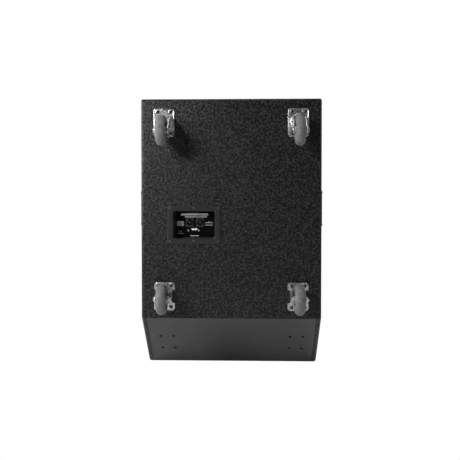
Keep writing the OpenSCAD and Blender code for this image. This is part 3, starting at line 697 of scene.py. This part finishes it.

# ---------------------------------------------------------------------------------------
# Swivel casters. A pressed plate with a rolled rim carries a double ball race on a riveted
# kingpin. The fork is one pressing: a domed crown over the race and two ribbed legs. All of
# it is bright zinc plate, its tone varying at random.

bright_zinc = new_material("bright_zinc", (0.7, 0.71, 0.72), 0.28, 1.0)
tint(bright_zinc, grain(bright_zinc, 60, 5.0), (0.56, 0.57, 0.58), (0.83, 0.84, 0.85))
sheen_spread(bright_zinc, grain(bright_zinc, 160, 4.0), 0.2, 0.38)
relief(bright_zinc, (grain(bright_zinc, 300, 3.0), 0.00008))

ball_steel = new_material("ball_steel", (0.7, 0.7, 0.7), 0.12, 1.0)
tint(ball_steel, grain(ball_steel, 400, 3.0), (0.55, 0.55, 0.54), (0.8, 0.8, 0.8))
relief(ball_steel, (grain(ball_steel, 1200, 2.0), 0.00005))

caster_x = 226
swivel_z = 848
rigid_z = 262
back_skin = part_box("back_panel")[1].y / mm
lead = 33
axle_height = 79.2
plate_size = (70, 95)
plate_thick = 3
bolt_spots = [(x * 22.25, y * 36.5) for x in (-1, 1) for y in (-1, 1)]
leg_in = 20
leg_thick = 2.8


def on_caster(side, height):
    """Local x is X, y points down and z points out of the back."""
    turn = Matrix(((1, 0, 0, 0), (0, 0, 1, 0), (0, -1, 0, 0), (0, 0, 0, 1)))
    return Matrix.Translation(Vector((side * caster_x, back_skin, height)) * mm) @ turn


def pressed_plate():
    """A caster plate with rounded corners and a rolled rim, without its holes."""
    plate = block(plate_size[0], plate_size[1], plate_thick, (0, 0, plate_thick / 2))
    editing(plate)
    pick("EDGE", lambda edge: abs(edge.verts[0].co.z - edge.verts[1].co.z) > mm)
    bpy.ops.mesh.bevel(offset=9 * mm, segments=6)
    pick("FACE", lambda face: face.normal.z > 0.9)
    bpy.ops.mesh.inset(thickness=2.6 * mm, depth=0)
    bpy.ops.mesh.inset(thickness=1.0 * mm, depth=-0.9 * mm)
    done()
    return round_edges(plate, 0.7, 2, 30)


def drilled(plate):
    """Bolt holes, each with a small raised collar where the punch went through."""
    for x, y in bolt_spots:
        collar = rod(7.4, 1.0, plate_thick, (x, y))
        combine(plate, round_edges(collar, 0.5, 2), "UNION")
    for x, y in bolt_spots:
        combine(plate, rod(4.3, -1, plate_thick + 1, (x, y)))
    return plate


def leg(outline_low, outline_high, inner_x):
    """A fork leg: a strap round two circles in the fork's side plane, with a pressed rib."""
    strap = rod(outline_low[2], 0, leg_thick, outline_low[:2], 48)
    upper = rod(outline_high[2], 0, leg_thick, outline_high[:2], 48)
    alone(strap)
    upper.select_set(True)
    bpy.ops.object.join()
    editing(strap)
    bpy.ops.mesh.select_all(action="SELECT")
    bpy.ops.mesh.convex_hull()
    bpy.ops.mesh.dissolve_limited(angle_limit=math.radians(1))
    pick("FACE", lambda face: face.normal.z > 0.9)
    bpy.ops.mesh.inset(thickness=4.5 * mm, depth=0)
    bpy.ops.mesh.inset(thickness=1.6 * mm, depth=1.3 * mm)
    bpy.ops.mesh.inset(thickness=3.2 * mm, depth=0)
    bpy.ops.mesh.inset(thickness=1.4 * mm, depth=-1.2 * mm)
    done()
    round_edges(strap, 0.6, 2, 28)
    side = 1 if inner_x > 0 else -1
    turn = Matrix(((0, 0, side, 0), (1, 0, 0, 0), (0, 1, 0, 0), (0, 0, 0, 1)))
    put(strap, Matrix.Translation((inner_x * mm, 0, 0)) @ turn)
    if side < 0:
        editing(strap)
        bpy.ops.mesh.select_all(action="SELECT")
        bpy.ops.mesh.normals_make_consistent(inside=False)
        done()
    return strap


def along_axle(y):
    """Local z runs along the axle, at its middle."""
    return Matrix.Translation(Vector((0, y, axle_height)) * mm) @ Matrix.Rotation(math.radians(90), 4, "Y")


def axle_hole(y):
    return put(rod(4.1, -40, 40), along_axle(y))


def keep_above(piece, height):
    """Trim away what lies lower than a height, and close the cut."""
    editing(piece)
    bpy.ops.mesh.select_all(action="SELECT")
    bpy.ops.mesh.bisect(
        plane_co=(0, 0, height * mm), plane_no=(0, 0, 1), clear_inner=True, use_fill=True)
    done()
    return piece


sides = ((1, "left"), (-1, "right"))
plate_pattern = drilled(pressed_plate())
boss = turned([(6.05, 0.5), (6.05, 8), (16.5, 8)]
              + arc((20, 9.5), 3, 210, 330, 8) + [(24.2, 8), (25.2, 7.6), (26, 6.8), (26, 0.5)]
              + [(6.05, 0.5)], 64)
combine(plate_pattern, rod(6.05, -1, 9, sides=64))
combine(plate_pattern, boss, "UNION")
combine(plate_pattern, rod(9, -1, 2.5))

crown_pattern = turned([(6.1, 11), (6.1, 14), (12.4, 14)] + arc((16, 14), 1.5, 180, 90, 3)
                       + arc((21.5, 14), 1.5, 90, 0, 3) + arc((25.8, 10.8), 3.2, 90, 0, 5)
                       + [(29, 5.2), (28.2, 4.2), (26.6, 4.2), (26.6, 11)]
                       + [(22.6, 11)] + arc((20, 9.5), 3, 30, 150, 8) + [(6.1, 11)], 64)
for inner in (leg_in, -leg_in):
    strap = keep_above(leg((0, 24, 20), (lead, axle_height, 13), inner), 11.3)
    combine(crown_pattern, strap, "UNION")
combine(crown_pattern, axle_hole(lead))

rivet_pattern = turned([(0, 0), (8.5, 0), (8.9, 0.4), (8.9, 2.4), (6, 2.4)]
                       + [(6, 14.3), (10, 14.3), (10, 16.6)]
                       + [(9.6, 17.2), (8, 17.2), (8, 18.4)] + arc((6.6, 18.2), 1.3, 10, 90, 4)
                       + [(3.4, 19.5), (2.6, 18.6), (0, 18.4)], 48)

for side, name in sides:
    place = on_caster(side, swivel_z)
    body = f"swivel_{name}"
    plate = copy_of(plate_pattern, place)
    fit(plate, f"{body}_top_plate", bright_zinc, "cabinet", "zinc_steel", f"{body}_plate")
    crown = copy_of(crown_pattern, place)
    fit(crown, f"{body}_fork_pressing", bright_zinc, body, "zinc_steel", f"{body}_fork")
    rivet = copy_of(rivet_pattern, place)
    fit(rivet, f"{body}_rivet", bright_zinc, "cabinet", "zinc_steel", f"{body}_kingpin")
    dress(f"{body}_balls", ball_steel)
for pattern in (plate_pattern, crown_pattern, rivet_pattern):
    bpy.data.objects.remove(pattern)

# ---------------------------------------------------------------------------------------
# Rigid casters. The plate and both legs are one pressing, waisted between the bolt ears,
# with three ribs up each leg.


def flute(y, low, high, inner_x):
    """A round-ended rib pressed out of a leg."""
    side = 1 if inner_x > 0 else -1
    rib = rod(3.4, low + 3.4, high - 3.4, (inner_x + side * 1.6, y), 24)
    for end in (low + 3.4, high - 3.4):
        bpy.ops.object.select_all(action="DESELECT")
        bpy.ops.mesh.primitive_uv_sphere_add(
            segments=24, ring_count=12, radius=3.4 * mm,
            location=Vector((inner_x + side * 1.6, y, end)) * mm)
        ball = bpy.context.object
        bpy.ops.object.transform_apply(location=True, rotation=True, scale=True)
        combine(rib, ball, "UNION")
    return combine(rib, block(40, 60, 120, (inner_x - side * 20 + side * 1.0, 0, 40)))


rigid_pattern = pressed_plate()
for half in (-1, 1):
    waist = block(24, 56, 10, (half * 36.8, 0, 1))
    editing(waist)
    pick("FACE", lambda face: face.normal.x * half < -0.9)
    widen(1, 40 / 56)
    pick("EDGE", lambda edge: abs(edge.verts[0].co.z - edge.verts[1].co.z) > 5 * mm
         and edge.verts[0].co.x * half < 30 * mm)
    bpy.ops.mesh.bevel(offset=4 * mm, segments=4)
    done()
    combine(rigid_pattern, waist)
drilled(rigid_pattern)
for inner in (leg_in, -leg_in):
    strap = leg((0, 22, 21), (0, axle_height, 13), inner)
    foot = block(leg_thick, 50, 14, (math.copysign(leg_in + leg_thick / 2, inner), 0, 7))
    editing(foot)
    pick("FACE", lambda face: face.normal.z > 0.9)
    bpy.ops.mesh.extrude_region_move(TRANSFORM_OT_translate=shift((0, 0, 16)))
    widen(1, 0.8)
    done()
    combine(strap, round_edges(foot, 0.5, 2), "UNION")
    combine(rigid_pattern, keep_above(strap, 0.4), "UNION")
    for y, low, high in ((-13, 6, 34), (0, 6, 58), (13, 6, 34)):
        combine(rigid_pattern, flute(y, low, high, inner), "UNION")
combine(rigid_pattern, axle_hole(0))
for side, name in sides:
    pressing = copy_of(rigid_pattern, on_caster(side, rigid_z))
    fit(pressing, f"rigid_{name}_pressing", bright_zinc, "cabinet", "zinc_steel", f"rigid_{name}_fork")
bpy.data.objects.remove(rigid_pattern)

# ---------------------------------------------------------------------------------------
# Axles and wheels. Each axle is a zinc-plated hex bolt and lock nut. Each wheel is a grey
# moulded core with eight ribs a side, and a crowned grey rubber tyre bonded round its rim.

core_grey = new_material("core_grey", (0.3, 0.3, 0.29), 0.55)
tint(core_grey, grain(core_grey, 60, 3.0), (0.24, 0.24, 0.23), (0.34, 0.34, 0.33))
relief(core_grey, (grain(core_grey, 700, 3.0), 0.0002))

tyre_rubber = new_material("tyre_rubber", (0.13, 0.13, 0.125), 0.7, gloss=0.3)
tint(tyre_rubber, grain(tyre_rubber, 130, 6.0), (0.105, 0.105, 0.102), (0.178, 0.178, 0.173))
sheen_spread(tyre_rubber, grain(tyre_rubber, 60, 4.0), 0.55, 0.8)
relief(tyre_rubber, (grain(tyre_rubber, 900, 4.0), 0.0003), (grain(tyre_rubber, 80, 3.0), 0.0003))

wheel_r = 50.8
rim_r = 36
tread_half = 16
crown_r = 18


def hexagon(radius, start, end, chamfered):
    """A six-sided head with its outer corners turned off."""
    head = rod(radius, start, end, sides=6)
    slope = 0.9 if chamfered > 0 else -0.9
    limit = (end if chamfered > 0 else start)
    cone = turned([(0, limit - 30 * slope), (radius + 12, limit - 30 * slope),
                   (radius + 12, limit - 6 * slope), (radius * 0.86, limit), (0, limit)], 48)
    return combine(head, cone, "INTERSECT")


def axle_bolt():
    """A bolt along local Z with its head at the high end and a lock nut at the low end."""
    outer = leg_in + leg_thick
    bolt = rod(4, -outer - 7.6, outer + 0.4)
    round_edges(bolt, 0.6, 2)
    combine(bolt, hexagon(7.5, outer, outer + 5.2, 1), "UNION")
    nut = hexagon(7.5, -outer - 6.3, -outer, -1)
    combine(nut, rod(5.2, -outer - 6.4, -outer - 5.9))
    combine(bolt, nut, "UNION")
    return bolt


def wheel_core():
    core = turned([(4.06, -19), (10.6, -19)] + arc((10.6, -17.5), 1.5, 270, 360, 3)
                  + [(12.1, -7)] + arc((14.6, -7), 2.5, 180, 90, 4) + [(28.5, -4.5)]
                  + arc((28.5, -7), 2.5, 90, 0, 4) + [(31, -12.6), (31.9, -13.5), (36, -13.5)]
                  + [(36, 13.5), (31.9, 13.5), (31, 12.6), (31, 7)] + arc((28.5, 7), 2.5, 0, -90, 4)
                  + [(14.6, 4.5)] + arc((14.6, 7), 2.5, 270, 180, 4) + [(12.1, 17.5)]
                  + arc((10.6, 17.5), 1.5, 0, 90, 3) + [(4.06, 19), (4.06, -19)], 64)
    for turn in range(4):
        for half in (-1, 1):
            rib = block(22, 2.2, 22, (half * 21.3, 0, 0))
            editing(rib)
            pick("FACE", lambda face: face.normal.x * half > 0.9)
            bpy.ops.transform.resize(value=(1, 1, 0.86))
            done()
            combine(core, put(rib, Matrix.Rotation(math.radians(45 * turn), 4, "Z")), "UNION")
    return core


def tyre():
    flank = math.degrees(math.asin(tread_half / crown_r))
    crown = arc((wheel_r - crown_r, 0), crown_r, -flank + 3, flank - 3, 24)
    shoulder = crown[0][0]
    low = [(rim_r, -tread_half + 1.2), (rim_r + 0.8, -tread_half + 0.5), (rim_r + 2.4, -tread_half + 0.5),
           (rim_r + 2.9, -tread_half), (shoulder - 0.7, -tread_half)]
    high = [(r, -z) for r, z in reversed(low)]
    middle = len(crown) // 2
    seam = [(wheel_r, -0.5), (wheel_r - 0.25, -0.25), (wheel_r - 0.25, 0.25), (wheel_r, 0.5)]
    crown[middle:middle + 1] = seam
    return turned(low + crown + high + [low[0]], 96)


bolt_pattern = axle_bolt()
core_pattern = wheel_core()
tyre_pattern = tyre()
for kind, height, reach in (("swivel", swivel_z, lead), ("rigid", rigid_z, 0)):
    for side, name in sides:
        node = f"{kind}_{name}"
        place = on_caster(side, height) @ along_axle(reach)
        holder = node if kind == "swivel" else "cabinet"
        bolt = copy_of(bolt_pattern, place)
        fit(bolt, f"{node}_axle_bolt", bright_zinc, holder, "zinc_steel", f"{node}_axle")
        core = copy_of(core_pattern, place)
        fit(core, f"{node}_hub", core_grey, f"{node}_wheel", "wheel_core", f"{node}_core")
        rubber = copy_of(tyre_pattern, place)
        fit(rubber, f"{node}_tread", tyre_rubber, f"{node}_wheel", "wheel_tyre", f"{node}_tyre")
for pattern in (bolt_pattern, core_pattern, tyre_pattern):
    bpy.data.objects.remove(pattern)

# ---------------------------------------------------------------------------------------
# Caster screws. Sixteen black M8 button-head screws with hex sockets, four to a plate, run
# through the panel into the tee nuts.

screw_places = [
    on_caster(side, height) @ Matrix.Translation(Vector((x, y, plate_thick)) * mm)
    for height in (swivel_z, rigid_z) for side in (-1, 1) for x, y in bolt_spots]
caster_screws = set_of(domed_screw(6.2, 3.6, 3.35, 22, "hex"), screw_places)
fit(caster_screws, "caster_screw_set", black_oxide, "cabinet", "black_screws", "caster_screws")

# ---------------------------------------------------------------------------------------
# Input dish. A deep-drawn steel dish in fine black powder coat is set into the back panel
# with six screws. A printed black plate lines its floor. Its colour is set near black, far
# darker than the dish, as painted shade for the deep recess. Its marks are plain bars and
# blocks in white ink.

dish_coat = new_material("dish_coat", (0.016, 0.016, 0.017), 0.36, gloss=0.35)
tint(dish_coat, grain(dish_coat, 300, 4.0), (0.012, 0.012, 0.013), (0.021, 0.021, 0.022))
sheen_spread(dish_coat, grain(dish_coat, 120, 3.0), 0.3, 0.45)
relief(dish_coat, (grain(dish_coat, 1400, 3.0), 0.00015))

dish_x, dish_z = 125, 505
dish_wall = 3
dish_deep = 40
dish_mouth = (140, 93)
socket_x, socket_y = 17.7, 7
dish_low, dish_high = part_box("input_dish")
dish_floor = dish_wall - dish_deep
facing_back = Matrix.Translation(Vector((dish_x, back_skin, dish_z)) * mm) @ Matrix(
    ((-1, 0, 0, 0), (0, 0, 1, 0), (0, 1, 0, 0), (0, 0, 0, 1)))
sockets = (("input", -1), ("link", 1))

flange = ((dish_high.x - dish_low.x) / mm, (dish_high.z - dish_low.z) / mm)
dish = moulded_cup(flange, dish_mouth, dish_wall, dish_deep, (8, 8, 11), 4, 1.4)
for name, side in sockets:
    combine(dish, rod(12.2, -dish_deep - 1, dish_floor + 2, (side * socket_x, socket_y), 48))
put(dish, facing_back)
fit(dish, "drawn_dish", dish_coat, "cabinet", "dish_steel", "input_dish")

# The floor plate's near-black colour is partly painted shade: it darkens the recess floor as the recess's
# own shade would.
plate_black_painted_shade = new_material("plate_black_painted_shade", (0.002, 0.002, 0.002), 0.35, gloss=0.08)
tint(plate_black_painted_shade, grain(plate_black_painted_shade, 500, 2.0), (0.0015, 0.0015, 0.0015), (0.003, 0.003, 0.003))
relief(plate_black_painted_shade, (grain(plate_black_painted_shade, 900, 2.0), 0.00005))
lining = block(dish_mouth[0] - 5, dish_mouth[1] - 5, 0.3, (0, 0, dish_floor + 0.15))
editing(lining)
pick("EDGE", lambda edge: abs(edge.verts[0].co.z - edge.verts[1].co.z) > 0.2 * mm)
bpy.ops.mesh.bevel(offset=6 * mm, segments=5)
done()
for name, side in sockets:
    combine(lining, rod(12.6, dish_floor - 1, dish_floor + 1, (side * socket_x, socket_y), 48))
put(lining, facing_back)
fit(lining, "dish_floor_plate", plate_black_painted_shade, "cabinet", "dish_steel")

white_ink = new_material("white_ink", (0.75, 0.75, 0.74), 0.55)
tint(white_ink, grain(white_ink, 1500, 3.0), (0.6, 0.6, 0.59), (0.8, 0.8, 0.79))
relief(white_ink, (grain(white_ink, 2500, 2.0), 0.00003))
grey_ink = new_material("grey_ink", (0.3, 0.3, 0.3), 0.55)
tint(grey_ink, grain(grey_ink, 1200, 3.0), (0.2, 0.2, 0.2), (0.4, 0.4, 0.4))
relief(grey_ink, (grain(grey_ink, 2500, 2.0), 0.00003))
ink_top = dish_floor + 0.4


def ink_bar(x, y, wide, high, slant=0.0):
    """A printed bar, whose upper edge may be wider or narrower than its lower one."""
    bar = block(wide, high, 0.1, (x, y, ink_top - 0.05))
    editing(bar)
    pick("FACE", lambda face: face.normal.y > 0.9)
    widen(1 + slant, 1)
    pick("EDGE", lambda edge: abs(edge.verts[0].co.z - edge.verts[1].co.z) > 0.05 * mm)
    bpy.ops.mesh.bevel(offset=min(wide, high) * 0.2 * mm, segments=2)
    done()
    return put(bar, facing_back)


def print_marks(name, paint, bars):
    made = [ink_bar(*bar) for bar in bars]
    alone(made[0])
    for bar in made:
        bar.select_set(True)
    bpy.ops.object.join()
    fit(made[0], name, paint, "cabinet", "dish_steel")


print_marks("white_marks", white_ink, [
    (-1.4, 34, 96, 7, -0.05), (3.4, 25.6, 76, 2.6), (-1.7, -17, 17, 6.5, 0.3), (-1.3, -39, 29, 2)])
print_marks("grey_marks", grey_ink, [
    (-50, 2.6, 24, 17), (48, 5.6, 27, 2.4), (48, -2.6, 27, 2.6), (48, 8.4, 7, 2.2, -0.5),
    (-50, -31, 25, 4, -0.5), (-54, -24, 3.4, 5), (-47, -24, 3.4, 5), (-23, -21, 4, 6), (13, -21, 4, 6)])

# ---------------------------------------------------------------------------------------
# Speaker sockets. Two black nylon four-pole sockets side by side: a square flange, a keyed
# round collar, a centre post, and brass tabs behind. Four small screws hold each one.

socket_nylon = new_material("socket_nylon", (0.013, 0.013, 0.014), 0.4)
tint(socket_nylon, grain(socket_nylon, 200, 3.0), (0.01, 0.01, 0.011), (0.018, 0.018, 0.019))
relief(socket_nylon, (grain(socket_nylon, 1500, 2.0), 0.0001))
tab_brass = new_material("tab_brass", (0.62, 0.5, 0.24), 0.3, 1.0)
tint(tab_brass, grain(tab_brass, 300, 4.0), (0.5, 0.38, 0.16), (0.7, 0.58, 0.3))
relief(tab_brass, (grain(tab_brass, 1500, 2.0), 0.00005))

small_screws = []
for name, side in sockets:
    face = block(26, 31, 2.5, (0, 0, 1.25))
    editing(face)
    pick("EDGE", lambda edge: abs(edge.verts[0].co.z - edge.verts[1].co.z) > mm)
    bpy.ops.mesh.bevel(offset=3 * mm, segments=4)
    done()
    round_edges(face, 0.5, 2)
    combine(face, round_edges(rod(12, -24, 4, sides=64), 0.7, 2), "UNION")
    combine(face, rod(10.4, -20, 6, sides=64))
    for turn in (0, 90, 180, 270):
        key = block(3.2, 2.6, 9, (10.6, 0, 1))
        combine(face, put(key, Matrix.Rotation(math.radians(turn + 20), 4, "Z")))
    post = round_edges(rod(5, -21, -2, sides=48), 0.6, 2)
    for turn in (0, 90, 180, 270):
        slot_cut = block(1.6, 1.2, 16, (5, 0, -8))
        combine(post, put(slot_cut, Matrix.Rotation(math.radians(turn), 4, "Z")))
    combine(face, post, "UNION")
    for x in (-10, 10):
        for y in (-12, 12):
            combine(face, rod(1.6, -1, 4, (x, y), 20))
            small_screws.append(facing_back @ Matrix.Translation(
                Vector((side * socket_x + x, socket_y + y, dish_floor + 2.5)) * mm))
    for turn in (0, 90, 180, 270):
        tab = block(0.8, 4.8, 10.5, (6.4, 0, -28.75))
        combine(tab, put(rod(0.9, -2, 2, sides=16), Matrix.Translation(Vector((6.4, 0, -31)) * mm)
                         @ Matrix.Rotation(math.radians(90), 4, "Y")))
        combine(face, put(tab, Matrix.Rotation(math.radians(turn), 4, "Z")), "UNION")
    place = facing_back @ Matrix.Translation(
        Vector((side * socket_x, socket_y, dish_floor)) * mm)
    put(face, place)
    fit(face, f"{name}_socket_body", socket_nylon, "cabinet", "socket_plastic", f"{name}_socket")
    face.data.materials.append(tab_brass)
    tab_start = (place @ Vector((0, 0, -24.1 * mm))).y
    for polygon in face.data.polygons:
        polygon.material_index = int(polygon.center.y < tab_start)

dish_screws = set_of(domed_screw(4, 2.4, 1.8, 18), [
    facing_back @ Matrix.Translation(Vector((x, y, dish_wall)) * mm)
    for x in (-81, 0, 81) for y in (-56, 56)])
fine_screws = set_of(domed_screw(2.4, 1.5, 1.3, 8), small_screws)
alone(dish_screws)
fine_screws.select_set(True)
bpy.ops.object.join()
fit(dish_screws, "dish_screw_set", black_oxide, "cabinet", "black_screws", "input_screws")
